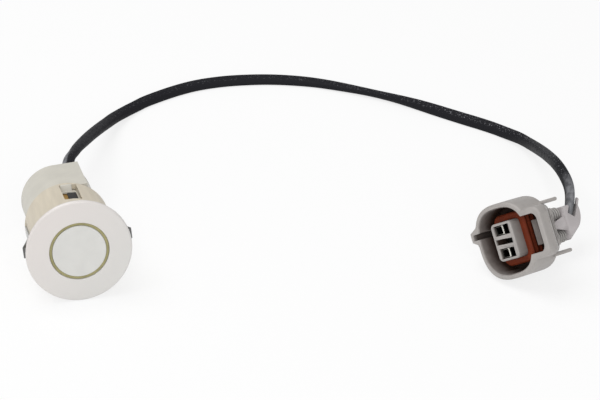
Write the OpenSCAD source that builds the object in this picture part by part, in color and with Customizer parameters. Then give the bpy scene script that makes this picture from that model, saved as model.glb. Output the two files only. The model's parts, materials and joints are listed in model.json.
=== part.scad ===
// Ultrasonic parking sensor for a bumper: round sensor head with a flanged retainer and two spring clips,
// a short cable and a sealed two-way connector. It lies on a table, face towards -Y, millimetres throughout.

/* [Sensor head] */
// Diameter of the round transducer face
face_d = 14.2; // [12:0.1:15]
// Width of the soft ring seen around the face
ring_w = 0.75; // [0.6:0.05:1.4]
// Outer diameter of the retainer flange
bezel_d = 28; // [26:0.5:34]
// Thickness of the retainer flange at its edge
flange_t = 2; // [1.6:0.1:3]
// Outer diameter of the sensor case
case_d = 19.4; // [19:0.2:20.6]
// Wall of the sensor case
case_wall = 1.1; // [0.9:0.1:1.4]
// Distance from the face to the rear of the case
case_len = 39; // [37:1:44]
// Wall of the retainer sleeve
sleeve_wall = 1.5; // [1.2:0.1:1.8]
// Distance from the face to the rear of the sleeve
sleeve_len = 20.5; // [20:0.1:24]
// Width of the cable boss on the case
boss_w = 6.4; // [5:0.2:7]

/* [Spring clips] */
// How far the peak of each clip stands out past the edge of the flange
clip_out = 0.5; // [0:0.1:1.4]
// Width of each clip
clip_w = 3; // [2.4:0.2:5]
// Sheet thickness of the clips
clip_t = 0.45; // [0.3:0.05:0.6]
// Gap between the flange and the clip tips, for the skin of the bumper
skin_gap = 2.2; // [2.1:0.1:2.6]

/* [Cable] */
// Width of the flat cable jacket
cable_w = 3.5; // [2.6:0.1:3.6]
// Thickness of the flat cable jacket
cable_t = 2.3; // [1.8:0.1:2.5]

/* [Connector] */
// Width of the connector hood across the latch
plug_w = 19.6; // [18:0.2:22]
// Height of the connector hood along the terminals
plug_h = 20.4; // [19:0.2:22]
// Wall of the connector hood
plug_wall = 1.4; // [1.2:0.1:1.8]
// Length of the hood before its rear taper
hood_len = 9; // [8.8:0.2:11]
// Width of the terminal nose
nose_w = 7.5; // [7.2:0.1:8.2]
// Height of the terminal nose
nose_h = 10.2; // [9.8:0.1:11]
// Distance between the two terminals
pitch = 6.2; // [5.8:0.1:6.4]
// Distance from the connector axis to the outside of the latch guard
guard_reach = 14.6; // [14:0.2:16]

/* [Fits] */
// Gap between round faces that fit into each other
fit = 0.05; // [0.02:0.01:0.1]
// Radial gap between the case and the retainer sleeve
case_fit = 0.15; // [0.05:0.05:0.3]

/* [Hidden] */
eps = 0.01;
bezel_r = bezel_d / 2;
case_r = case_d / 2;

// Radii from the face outwards
cup_r = face_d / 2;
iso_in = cup_r + fit;
iso_out = cup_r + ring_w;
bezel_bore = iso_out + fit;
sleeve_in = case_r + case_fit;
sleeve_out = sleeve_in + sleeve_wall;
cavity_r = case_r - case_wall;

// Depths behind the face plane
ring_recess = 0.3;
edge_round = 0.6;
rim_h = edge_round + 0.2;
front_wall = flange_t + 0.4;
iso_flange = 1;
case_front = front_wall + iso_flange;
cup_len = 9;
iso_lip = 1;
shelf_front = cup_len + iso_lip;
shelf_t = 1.2;
board_front = shelf_front + shelf_t + 1.8;
potting_recess = 0.6;
potting_t = 3.4;
potting_rear = case_len - potting_recess;
potting_front = potting_rear - potting_t;
case_edge = 0.4;

// Transducer pieces inside the cup
membrane_t = 0.8;
cup_wall = 0.9;
piezo_t = 0.4;
absorber_t = 2.2;
filler_front = membrane_t + piezo_t + absorber_t;
filler_rear = cup_len - 0.4;

// Window in the sleeve over the case's snap lug
window_x = [-1.7, 2.9];
window_h = [9, sleeve_len - 1];
lug_gap = 0.3;
lug_len = 1.2;
lug_w = 3;

// Flats in the sides of the sleeve that the clips lie on, their turn about the axis, and the clips' own bends
flat_x = sleeve_out - clip_t;
flat_front = flange_t + 1.2;
flat_rear = sleeve_len - 0.8;
clip_turn = 4;
clip_base = flat_x + clip_t / 2;
clip_bend = 12.6;
clip_peak = flange_t + skin_gap + 1.5;
clip_reach = bezel_r + clip_out;
clip_tip = sleeve_out + 1.5;
// How far both clips are sprung towards the right
clip_lean = 0.45;

// Cable boss, exit and grommet
boss_rise = 0.25;
boss_front = sleeve_len + 1.7;
grommet_r = cable_w / 2 + 0.3;
grommet_tip = cable_w / 2 + 0.1;
grommet_out = 0.6;
exit_turn = 53.5;
exit_r = cavity_r - grommet_r - 0.3;
exit_x = exit_r * cos(exit_turn);
exit_z = exit_r * sin(exit_turn);

// Circuit board
board_t = 1;
board_top = -2.4;
board_half = sqrt(pow(cavity_r, 2) - pow(board_top - board_t, 2)) - 0.15;
lead_r = 0.3;
lead_x = 2.2;
core_r = 0.45;
core_x = 0.7;
core_drop = 2.5;

// Pieces on the board: transformer drum, chip, capacitor can and small ceramic capacitor
drum_r = 3;
drum_h = 4.8;
drum_lip = 0.8;
drum_core_r = 1.5;
winding_r = 2.7;
drum_x = -3;
drum_y = board_front + drum_r + 1.6;
chip = [4.6, 5, 1.5];
chip_x = -5.2;
chip_y = drum_y + drum_r + 1.8;
can_r = 2.2;
can_h = 5.2;
can_x = 3.4;
can_y = board_front + can_r + 2;
ceramic = [2.8, 1.6, 1.2];
ceramic_x = 1.6;
ceramic_y = can_y + can_r + 2;

// The head leans back until the flange rim and the rear of the case both touch the table
tilt = atan((bezel_r - case_r) / (case_len - case_edge - rim_h));
head_z = rim_h * sin(tilt) + bezel_r * cos(tilt);
head_front = edge_round * cos(tilt) - (bezel_r - edge_round) * sin(tilt) - edge_round;
head_rear = (case_len + grommet_out) * cos(tilt) + (exit_z + grommet_tip) * sin(tilt);
head_y = -(head_front + head_rear) / 2;

// Connector, in its own frame: x towards the latch, y away from the mouth, z towards the upper terminal
plug_n = 2.7;
plug_a = plug_w / 2;
plug_b = plug_h / 2;
rim_edge = 0.4;
floor_y = hood_len - 1.3;
rear_y = hood_len + 8.2;
prong_end = rear_y - 2.6;
tube_end = rear_y + 1;
tube_r = 2.1;
cover_y = tube_end + 4.2;
seal_front = 3.5;
seal_side = 1.9;
cavity_x = [-2.6, 2.75];
cavity_half = 1.35;
lance_x = [1.4, 2.25];
lance_half = 0.8;
lance_front = 1.2;
wire_r = 0.75;
wire_bore = 1.35;
rib_r = 1.75;
rib_root = 1.4;
ribs = 5;
crimp_r = 0.9;
terminal_rear = floor_y + 0.3;
crimp_end = rear_y - 3;
window_half = 5.2;
guard_half = 6.8;
guard_inner = guard_reach - 1.4;
guard_bridge = 3.2;
guard_len = hood_len - 0.4;
latch_x = [9.2, 10.5];
latch_half = 3.4;
prong_x = [7.8, 9.3];
prong_z = 7.05;
prong_half = 0.5;
entry_x = 1.2;
entry_y = cover_y + 2.8;
entry_z = 1.6;
entry_angle = 55;
entry_fit = [0.12, 0.3];
cover_x = [-3.4, 2.8];
cover_top = 4.5;
cover_low = -4.75;
cover_arc = [1.1, 2.5];
cover_r = 5.7;

// Connector pose on the table, turned about x, then y, then z
plug_turn = [-10.3, -32.6, -54.9];
plug_xy = [109.8, -38.2];

// Turns a point about x, then y, then z, as rotate() does
function turn_x(p, a) = [p[0], p[1] * cos(a) - p[2] * sin(a), p[1] * sin(a) + p[2] * cos(a)];
function turn_y(p, a) = [p[0] * cos(a) + p[2] * sin(a), p[1], p[2] * cos(a) - p[0] * sin(a)];
function turn_z(p, a) = [p[0] * cos(a) - p[1] * sin(a), p[0] * sin(a) + p[1] * cos(a), p[2]];
function plug_dir(p) = turn_z(turn_y(turn_x(p, plug_turn[0]), plug_turn[1]), plug_turn[2]);
function head_dir(p) = turn_x(p, -tilt);

// Height at which the hood's lowest edge just touches the table
plug_m = plug_n / (plug_n - 1);
plug_down = [plug_dir([1, 0, 0])[2], plug_dir([0, 1, 0])[2], plug_dir([0, 0, 1])[2]];
drop_x = pow(abs(plug_down[0]) * plug_a, plug_m);
drop_z = pow(abs(plug_down[2]) * plug_b, plug_m);
hood_drop = pow(drop_x + drop_z, 1 / plug_m);
plug_z = hood_drop - plug_down[1] * hood_len;
plug_pos = [plug_xy[0], plug_xy[1], plug_z];
function plug_pt(p) = plug_pos + plug_dir(p);
function head_pt(p) = [0, head_y, head_z] + head_dir(p);

// Cable route between the grommet and the connector, and how far its straight ends run
lie = cable_t / 2;
exit_run = 4;
exit_lean = [0.4, 0, 0];
exit_dir = head_dir([0, 1, 0]);
exit_pt = head_pt([exit_x, case_len + grommet_out, exit_z]);
entry_run = 4.2;
entry_dir = plug_dir([0, cos(entry_angle), sin(entry_angle)]);
entry_pt = plug_pt([entry_x, entry_y, entry_z]);
route = [
  exit_pt,
  exit_pt + exit_run * exit_dir + exit_lean,
  [5.7, 31.3, 14.4],
  [8, 36.9, 13.6],
  [10.5, 42.9, 12.4],
  [15.7, 55.2, 9],
  [21.1, 67, 5.5],
  [26, 76, 3],
  [31, 82.3, 1.8],
  [35.5, 86.3, lie],
  [39.5, 88.9, lie],
  [48, 92.9, lie],
  [55.5, 95.2, lie],
  [63.5, 95.9, lie],
  [71, 95.3, lie],
  [78, 93.9, lie],
  [85, 91.5, lie],
  [91.6, 88.3, lie],
  [98.1, 83.9, lie],
  [104.4, 78.7, lie],
  [110.4, 72.7, lie],
  [115.9, 66.5, lie],
  [121.4, 60.1, lie],
  [126.9, 53.7, lie],
  [131.5, 48.4, lie],
  [135.1, 43.6, lie],
  [137.5, 38.6, 2.3],
  [139.2, 32.6, 3.2],
  [139.4, 23.9, 5.6],
  [137.4, 8.3, 11.1],
  [135.2, -6.3, 15.7],
  [134.8, -13.9, 16],
  [134.5, -18.8, 14.8],
  entry_pt + entry_run * entry_dir,
  entry_pt
];

// Turn of the flat jacket about its own line, in degrees at points of the route
cable_roll = [
  [0, 20], [3, 20], [5, -16], [10, -40], [15, -30], [18, -2],
  [20, 48], [22, 101], [24, 115], [28, 95], [31, 111], [34, 115]
];

// Places a piece of the head, drawn with its axis along y and the face plane at y = 0
module in_head() {
  translate([0, head_y, head_z])
    rotate([-tilt, 0, 0])
      children();
}

// Places a piece of the connector
module in_plug() {
  translate(plug_pos)
    rotate(plug_turn)
      children();
}

// Turns a profile of [radius, depth] pairs about the y axis
module turned(profile, sides = 96) {
  rotate([-90, 0, 0])
    rotate_extrude($fn = sides)
      polygon(profile);
}

// Round bar along y from depth a to depth b
module bar(r, a, b, sides = 32) {
  translate([0, a, 0])
    rotate([-90, 0, 0])
      cylinder(r = r, h = b - a, $fn = sides);
}

// Box between two corners
module block(low, high) {
  translate(low)
    cube(high - low);
}

// Flat plate between two x limits, with an outline of [y, z] pairs
module plate(outline, x) {
  translate([x[0], 0, 0])
    rotate([90, 0, 90])
      linear_extrude(height = x[1] - x[0])
        polygon(outline);
}

// Points of an arc as [radius, depth] pairs
function arc(c, r, a, b, n) = [for (i = [0:n]) c + r * [cos(a + (b - a) * i / n), sin(a + (b - a) * i / n)]];

// Outline of a soft rounded box with half sizes a and b
function soft(a, b, n = plug_n, k = 48) = [
  for (i = [0:k - 1])
    let (c = cos(360 * i / k), s = sin(360 * i / k))
      [sign(c) * a * pow(abs(c), 2 / n), sign(s) * b * pow(abs(s), 2 / n)]
];

// Outline of a rectangle with round corners, between x limits and half height h
function rounded(x, h, r, k = 6) = [
  for (q = [0:3])
    for (i = [0:k])
      let (cx = (q == 0 || q == 3) ? x[1] - r : x[0] + r, cz = (q < 2) ? h - r : r - h)
        [cx + r * cos(90 * q + 90 * i / k), cz + r * sin(90 * q + 90 * i / k)]
];

// Puts an outline of [x, z] pairs at depth y
function at_y(outline, y) = [for (p = outline) [p[0], y, p[1]]];

// Skin over a row of rings with the same number of points
module loft(rings) {
  n = len(rings[0]);
  m = len(rings);
  points = [for (ring = rings) for (p = ring) p];
  sides = [
    for (i = [0:m - 2])
      for (j = [0:n - 1])
        for (f = [0, 1])
          let (a = i * n + j, b = i * n + (j + 1) % n)
            f == 0 ? [a, b, b + n] : [a, b + n, a + n]
  ];
  front = [[for (j = [n - 1:-1:0]) j]];
  back = [[for (j = [0:n - 1]) (m - 1) * n + j]];
  polyhedron(points = points, faces = concat(sides, front, back));
}

// Outline of a bent strip of thickness t along a row of points
function unit(v) = v / norm(v);
function left_of(v) = [-v[1], v[0]];
function mitre(p, i) =
  let (
    d0 = unit(p[max(i, 1)] - p[max(i, 1) - 1]),
    d1 = unit(p[min(i + 1, len(p) - 1)] - p[min(i + 1, len(p) - 1) - 1]),
    m = unit(left_of(d0) + left_of(d1))
  )
  m / (m * left_of(d0));
function strip(p, t) = concat(
  [for (i = [0:len(p) - 1]) p[i] + mitre(p, i) * t / 2],
  [for (i = [len(p) - 1:-1:0]) p[i] - mitre(p, i) * t / 2]
);

// Retainer: painted flange and a sleeve around the case, with a window on top and a flat for each clip
module bezel_retainer() {
  profile = concat(
    [[bezel_bore + 0.12, 0]],
    arc([bezel_r - edge_round, edge_round], edge_round, -90, 0, 8),
    [
      [bezel_r, rim_h],
      [bezel_r - 0.5, flange_t],
      [sleeve_out, flange_t],
      [sleeve_out, sleeve_len],
      [sleeve_in, sleeve_len],
      [sleeve_in, front_wall],
      [bezel_bore, front_wall],
      [bezel_bore, 0.12]
    ]
  );
  color([0.86, 0.85, 0.83])
    in_head()
      difference() {
        turned(profile, 128);
        block([window_x[0], window_h[0], cavity_r], [window_x[1], window_h[1], bezel_r]);
        rotate([0, -clip_turn, 0])
          for (side = [0, 1])
            mirror([side, 0, 0])
              block([flat_x, flat_front, -bezel_r], [bezel_r, flat_rear, bezel_r]);
      }
}

// Row of points that a clip follows, from its seat on the flat to its tip
function clip_path(side) = [
  [clip_base, flat_rear - fit],
  [clip_base, clip_bend],
  [clip_reach + side * clip_lean - clip_t * 0.62, clip_peak],
  [clip_tip + side * clip_lean, flange_t + skin_gap + clip_t / 2]
];

// Spring clip, drawn on the right and mirrored for the left
module clip(side) {
  in_head()
    rotate([0, -clip_turn, 0])
      scale([side, 1, 1])
        translate([0, 0, -clip_w / 2])
          linear_extrude(height = clip_w)
            polygon(strip(clip_path(side), clip_t));
}

module spring_clip_left() {
  color([0.43, 0.43, 0.42])
    clip(-1);
}

module spring_clip_right() {
  color([0.43, 0.43, 0.42])
    clip(1);
}

// Sensor case with the cable boss, the snap lug in the window and an open rear
module sensor_case() {
  shell = [
    [iso_in + 1.1 + fit, case_front],
    [case_r - 0.3, case_front],
    [case_r, case_front + 0.5],
    [case_r, case_len - case_edge],
    [case_r - case_edge, case_len],
    [cavity_r, case_len],
    [cavity_r, shelf_front + shelf_t],
    [cup_r - 1.2, shelf_front + shelf_t],
    [cup_r - 1.2, shelf_front],
    [iso_in + 1.1 + fit, shelf_front]
  ];
  lug_rear = window_h[1] - lug_gap;
  lug = [
    [lug_rear, case_r - 0.5],
    [lug_rear, sleeve_out + 0.1],
    [lug_rear - 0.6, sleeve_out + 0.1],
    [lug_rear - lug_len, case_r + 0.2],
    [lug_rear - lug_len, case_r - 0.5]
  ];
  boss = [[0, 0], [boss_w, 0], [boss_w, case_r + boss_rise], [0.6, case_r - 0.01], [0, case_r - 0.1]];
  color([0.8, 0.79, 0.76])
    in_head()
      difference() {
        union() {
          turned(shell, 128);
          difference() {
            translate([0, case_len - 0.3, 0])
              rotate([90, 0, 0])
                linear_extrude(height = case_len - 0.3 - boss_front)
                  polygon(boss);
            bar(cavity_r, boss_front - 1, case_len + 1, 128);
          }
          plate(lug, [window_x[0] + lug_gap, window_x[0] + lug_gap + lug_w]);
        }
        block([window_x[0] + lug_gap, window_h[0] + lug_gap, pad_floor],
              [window_x[1] - lug_gap, window_h[0] + lug_gap + pad_len, case_r + 1]);
      }
}

// Soft pad in a pocket of the case under the sleeve window
pad_floor = case_r - 0.75;
pad_len = window_h[1] - window_h[0] - 2 * lug_gap - lug_len - 0.3;
pad_left = 1.5;
pad_front = 3;
module rattle_pad() {
  color([0.08, 0.08, 0.08])
    in_head()
      block([window_x[0] + lug_gap + pad_left, window_h[0] + lug_gap + pad_front, pad_floor],
            [window_x[1] - lug_gap - 0.1, window_h[0] + lug_gap + pad_len - 0.1, case_r - 0.1]);
}

// Soft ring that carries the transducer and shows as the ring around the face
module isolator_ring() {
  profile = [
    [iso_in, ring_recess],
    [iso_out, ring_recess],
    [iso_out, front_wall],
    [case_r - 0.3, front_wall],
    [case_r - 0.3, case_front],
    [iso_in + 1.1, case_front],
    [iso_in + 1.1, shelf_front],
    [cup_r - 1.2, shelf_front],
    [cup_r - 1.2, cup_len],
    [iso_in, cup_len]
  ];
  color([0.55, 0.53, 0.36])
    in_head()
      turned(profile);
}

// Aluminium cup whose floor is the sensor's round face
module transducer_cup() {
  profile = [
    [0, 0],
    [cup_r - 0.12, 0],
    [cup_r, 0.12],
    [cup_r, cup_len],
    [cup_r - cup_wall, cup_len],
    [cup_r - cup_wall, membrane_t],
    [0, membrane_t]
  ];
  color([0.83, 0.83, 0.81])
    in_head()
      turned(profile);
}

module piezo_disc() {
  color([0.75, 0.7, 0.55])
    in_head()
      bar(cup_r * 0.5, membrane_t, membrane_t + piezo_t, 64);
}

module absorber_pad() {
  color([0.3, 0.3, 0.32])
    in_head()
      bar(cup_r * 0.68, membrane_t + piezo_t, filler_front, 64);
}

module cup_filler() {
  color([0.7, 0.7, 0.68])
    in_head()
      bar(cup_r - cup_wall - fit, filler_front, filler_rear, 64);
}

// Wire from the transducer to the front edge of the board
module lead(x) {
  in_head()
    translate([x, 0, board_top - board_t / 2])
      bar(lead_r, filler_rear, board_front, 24);
}

module lead_wire_a() {
  color([0.7, 0.15, 0.12])
    lead(-lead_x);
}

module lead_wire_b() {
  color([0.1, 0.1, 0.1])
    lead(lead_x);
}

module circuit_board() {
  color([0.1, 0.35, 0.2])
    in_head()
      block([-board_half, board_front, board_top - board_t], [board_half, potting_front, board_top]);
}

// Drum core of the pulse transformer, standing on the board
module transformer_core() {
  profile = [
    [0, 0],
    [drum_r, 0],
    [drum_r, drum_lip],
    [drum_core_r, drum_lip],
    [drum_core_r, drum_h - drum_lip],
    [drum_r, drum_h - drum_lip],
    [drum_r, drum_h],
    [0, drum_h]
  ];
  color([0.2, 0.2, 0.21])
    in_head()
      translate([drum_x, drum_y, board_top])
        rotate_extrude($fn = 64)
          polygon(profile);
}

module transformer_winding() {
  inside = drum_core_r + fit;
  top = drum_h - drum_lip;
  color([0.7, 0.38, 0.18])
    in_head()
      translate([drum_x, drum_y, board_top])
        rotate_extrude($fn = 64)
          polygon([[inside, drum_lip], [winding_r, drum_lip], [winding_r, top], [inside, top]]);
}

module driver_chip() {
  color([0.06, 0.06, 0.06])
    in_head()
      translate([chip_x, chip_y, board_top])
        cube(chip);
}

module storage_capacitor() {
  color([0.55, 0.57, 0.6])
    in_head()
      translate([can_x, can_y, board_top])
        cylinder(r = can_r, h = can_h, $fn = 48);
}

module ceramic_capacitor() {
  color([0.62, 0.5, 0.36])
    in_head()
      translate([ceramic_x, ceramic_y, board_top])
        cube(ceramic);
}

// Cable core from the grommet's inner end down to the board
module core_wire(x) {
  bend_y = potting_front - core_drop;
  in_head() {
    translate([x, 0, exit_z])
      bar(core_r, bend_y, potting_front, 24);
    translate([x, bend_y, exit_z])
      sphere(r = core_r, $fn = 24);
    translate([x, bend_y, board_top])
      cylinder(r = core_r, h = exit_z - board_top, $fn = 24);
  }
}

module core_wire_a() {
  color([0.75, 0.2, 0.15])
    core_wire(exit_x - core_x);
}

module core_wire_b() {
  color([0.85, 0.85, 0.85])
    core_wire(exit_x + core_x);
}

// Sealing compound that closes the rear of the case around the grommet
module potting() {
  color([0.12, 0.12, 0.12])
    in_head()
      difference() {
        bar(cavity_r - fit, potting_front, potting_rear, 128);
        translate([exit_x, 0, exit_z])
          bar(grommet_r + fit, potting_front - 1, potting_rear + 1, 48);
      }
}

module cable_grommet() {
  profile = [
    [0, potting_front],
    [grommet_r, potting_front],
    [grommet_r, potting_rear + 0.2],
    [grommet_tip, case_len + grommet_out],
    [0, case_len + grommet_out]
  ];
  color([0.45, 0.45, 0.45])
    in_head()
      translate([exit_x, 0, exit_z])
        turned(profile, 48);
}

// Smooth row of points through the route
function curve(p, i, u) =
  let (
    a = p[max(i - 1, 0)],
    b = p[i],
    c = p[i + 1],
    d = p[min(i + 2, len(p) - 1)]
  )
  0.5 * ((2 * b) + (c - a) * u + (2 * a - 5 * b + 4 * c - d) * u * u + (3 * b - a - 3 * c + d) * u * u * u);
function roll(k) = lookup(k, cable_roll);
function half_height(a) = norm([cable_w / 2 * sin(a), cable_t / 2 * cos(a)]);
function lift(p, a) = [p[0], p[1], max(p[2], half_height(a))];
line = concat(
  [for (i = [0:len(route) - 2]) for (u = [0, 0.5]) lift(curve(route, i, u), roll(i + u))],
  [entry_pt]
);
function along(i) = i == 0 ? exit_dir : i == len(line) - 1 ? -entry_dir : unit(line[i + 1] - line[i - 1]);

// Oval ring of the jacket at one point of the line, turned by its roll
function ring(i) =
  let (
    side = unit(cross(along(i), [0, 0, 1])),
    up = cross(side, along(i)),
    a = roll(i / 2),
    wide = cable_w / 2 * (cos(a) * side + sin(a) * up),
    thin = cable_t / 2 * (cos(a) * up - sin(a) * side)
  )
  [for (j = [0:11]) line[i] + cos(30 * j) * wide + sin(30 * j) * thin];

module cable() {
  color([0.13, 0.13, 0.14])
    loft([for (i = [0:len(line) - 1]) ring(i)]);
}

// Connector hood, terminal nose, latch and guard in one moulding
module connector_housing() {
  taper = 2;
  color([0.72, 0.71, 0.69])
    in_plug() {
      for (s = [-1, 1])
        translate([0, 0, s * pitch / 2])
          block([lance_x[0], lance_front, -lance_half], [lance_x[1], hood_len + eps, lance_half]);
      difference() {
        union() {
          difference() {
            union() {
              loft([
                at_y(soft(plug_a - rim_edge, plug_b - rim_edge), 0),
                at_y(soft(plug_a, plug_b), rim_edge),
                at_y(soft(plug_a, plug_b), hood_len),
                at_y(soft(plug_a - taper, plug_b - taper), hood_len + 1.2)
              ]);
              loft([
                at_y(rounded([5, guard_reach - rim_edge], guard_half - rim_edge, 2.4), 0),
                at_y(rounded([5, guard_reach], guard_half, 2.4), rim_edge),
                at_y(rounded([5, guard_reach], guard_half, 2.4), guard_bridge),
                at_y(rounded([5, 10.6], guard_half, 2.4), guard_len)
              ]);
              rotate([90, 0, 0])
                translate([0, 0, -floor_y - 1.5])
                  linear_extrude(height = floor_y + 1.5)
                    polygon([
                      [1.2 - plug_a, 0.4],
                      [-plug_a - 1.6, 1.8],
                      [-plug_a - 1.6, 4.2],
                      [1.2 - plug_a, 5.6]
                    ]);
              for (s = [-1, 1])
                translate([0, 0, s * prong_z])
                  loft([
                    at_y(rounded(prong_x, prong_half, 0.4), floor_y),
                    at_y(rounded(prong_x, prong_half, 0.4), prong_end - 0.5),
                    at_y(rounded(prong_x + [0.4, -0.4], prong_half - 0.3, 0.15), prong_end)
                  ]);
            }
            loft([
              at_y(soft(plug_a - plug_wall + 0.3, plug_b - plug_wall + 0.3), -eps),
              at_y(soft(plug_a - plug_wall, plug_b - plug_wall), 0.5),
              at_y(soft(plug_a - plug_wall, plug_b - plug_wall), floor_y)
            ]);
            loft([
              at_y(rounded([6, guard_inner], window_half, 1.8), -1),
              at_y(rounded([6, guard_inner], window_half, 1.8), floor_y)
            ]);
            block([-plug_a - 0.7, -1, 2.2], [0, floor_y, 3.8]);
          }
          loft([
            at_y(rounded([-nose_w / 2 + 0.35, nose_w / 2 - 0.35], nose_h / 2 - 0.35, 0.9), 0),
            at_y(rounded([-nose_w / 2, nose_w / 2], nose_h / 2, 1.2), 0.35),
            at_y(rounded([-nose_w / 2, nose_w / 2], nose_h / 2, 1.2), floor_y + eps)
          ]);
          block([-3.4, hood_len, -5.1], [3.4, rear_y, 5.1]);
          for (s = [-1, 1])
            translate([0, 0, s * pitch / 2])
              bar(tube_r, hood_len, tube_end, 48);
          block([latch_x[0], 2.4, -latch_half], [latch_x[1], hood_len, latch_half]);
          block([latch_x[0] - 0.3, 2.4, -latch_half], [latch_x[1] + 0.4, 3.6, latch_half]);
          block([7, floor_y, -latch_half], [latch_x[1], hood_len, latch_half]);
        }
        for (s = [-1, 1]) {
          block([cavity_x[0], -1, s * pitch / 2 - cavity_half],
                [cavity_x[1], hood_len, s * pitch / 2 + cavity_half]);
          translate([0, 0, s * pitch / 2])
            bar(wire_bore, hood_len - 1, tube_end + 1, 48);
        }
        block([-3, -1, -0.75], [3, floor_y + 0.5, 0.75]);
      }
    }
}

// Ribbed seal around the foot of the nose
module connector_seal() {
  function rib(y, d) = at_y(rounded([-nose_w / 2 - seal_side + d, nose_w / 2 + seal_side - d],
                                    nose_h / 2 + seal_side - d, 2.4 - d), y);
  color([0.47, 0.2, 0.1])
    in_plug()
      difference() {
        loft([
          rib(seal_front, 0.5),
          rib(seal_front + 0.6, 0),
          rib(seal_front + 1.4, 0.5),
          rib(seal_front + 2.2, 0),
          rib(seal_front + 3, 0.5),
          rib(seal_front + 3.8, 0),
          rib(floor_y, 0.2)
        ]);
        loft([
          at_y(rounded([-nose_w / 2 - fit, nose_w / 2 + fit], nose_h / 2 + fit, 1.2 + fit), 0),
          at_y(rounded([-nose_w / 2 - fit, nose_w / 2 + fit], nose_h / 2 + fit, 1.2 + fit), floor_y + 1)
        ]);
      }
}

// Box terminal with a crimp, in the upper or lower cavity
module terminal(s) {
  in_plug()
    translate([0, 0, s * pitch / 2]) {
      difference() {
        block([cavity_x[0], 0.7, -1.2], [0.3, terminal_rear, 1.2]);
        block([cavity_x[0] + 0.3, 0, -0.95], [-0.15, 6, 0.95]);
      }
      bar(crimp_r, terminal_rear - eps, crimp_end, 32);
    }
}

module terminal_upper() {
  color([0.8, 0.79, 0.75])
    terminal(1);
}

module terminal_lower() {
  color([0.8, 0.79, 0.75])
    terminal(-1);
}

// Lock plate pushed into the slot between the terminals
module terminal_lock() {
  color([0.15, 0.15, 0.15])
    in_plug()
      block([-2.8, 4.5, -0.75], [2.8, floor_y + 0.5, 0.75]);
}

// Ribbed seal on one connector wire
module wire_seal(s) {
  step = (cover_y - tube_end) / ribs;
  profile = concat(
    [
      [wire_r + fit, tube_end - 1.6],
      [wire_bore - fit, tube_end - 1.6],
      [wire_bore - fit, tube_end]
    ],
    [
      for (i = [0:ribs - 1])
        for (p = [[rib_r, 0], [rib_r, 0.5], [rib_root, 0.7], [rib_root, 0.95]])
          [p[0], tube_end + (i + p[1]) * step]
    ],
    [
      [rib_root, cover_y],
      [wire_r + fit, cover_y]
    ]
  );
  in_plug()
    translate([0, 0, s * pitch / 2])
      turned(profile, 48);
}

module wire_seal_upper() {
  color([0.6, 0.59, 0.57])
    wire_seal(1);
}

module wire_seal_lower() {
  color([0.6, 0.59, 0.57])
    wire_seal(-1);
}

// Wire from a crimp to the rear cover
module plug_wire(s) {
  in_plug()
    translate([0, 0, s * pitch / 2])
      bar(wire_r, crimp_end, cover_y, 32);
}

module plug_wire_upper() {
  color([0.75, 0.2, 0.15])
    plug_wire(1);
}

module plug_wire_lower() {
  color([0.85, 0.85, 0.85])
    plug_wire(-1);
}

// Rear cover that turns the cable into the connector, with a thin finger at its top
module rear_cover() {
  outline = concat([[0, cover_low]], arc(cover_arc, cover_r, -62, 12, 8), [[5.9, cover_top], [0, cover_top]]);
  finger = [[5.7, 3.1], [6.4, 2.9], [8, 5.3], [7.5, 5.8]];
  finger_x = [1.5, 2.2];
  arm_half = 0.7;
  web = [[rear_y, arm_half], [cover_y + 1, 2.2], [cover_y + 1, -2.2], [rear_y, -arm_half]];
  web_x = [1.8, 2.4];
  slot_h = 14;
  hole = [cable_w, cable_t] / 2 + entry_fit;
  middle = [3, 0];
  function slice(x, k) = [
    for (p = outline)
      let (q = p[0] == 0 ? [0, p[1] * k] : middle + (p - middle) * k)
        [x, cover_y + q[0], q[1]]
  ];
  color([0.78, 0.76, 0.74])
    in_plug()
      difference() {
        union() {
          loft([
            slice(cover_x[1], 0.9),
            slice(cover_x[1] - 0.5, 1),
            slice(cover_x[0] + 0.5, 1),
            slice(cover_x[0], 0.9)
          ]);
          block([-2.6, rear_y, -arm_half], [web_x[1], cover_y + 1, arm_half]);
          plate(web, web_x);
          translate([0, cover_y, 0])
            plate(finger, finger_x);
        }
        translate([entry_x, entry_y, entry_z])
          rotate([entry_angle - 90, 0, 0])
            linear_extrude(height = slot_h) {
              polygon([for (j = [0:47]) [hole[0] * cos(7.5 * j), hole[1] * sin(7.5 * j)]]);
              translate([0, -hole[1]])
                square([hole[0] + cover_x[1], 2 * hole[1]]);
            }
      }
}

bezel_retainer();
sensor_case();
rattle_pad();
isolator_ring();
transducer_cup();
piezo_disc();
absorber_pad();
cup_filler();
lead_wire_a();
lead_wire_b();
circuit_board();
transformer_core();
transformer_winding();
driver_chip();
storage_capacitor();
ceramic_capacitor();
core_wire_a();
core_wire_b();
potting();
cable_grommet();
spring_clip_left();
spring_clip_right();
cable();
connector_housing();
connector_seal();
terminal_upper();
terminal_lower();
terminal_lock();
wire_seal_upper();
wire_seal_lower();
plug_wire_upper();
plug_wire_lower();
rear_cover();
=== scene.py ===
import json
import math

import bmesh
import bpy
from mathutils import Euler, Matrix, Vector


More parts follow.
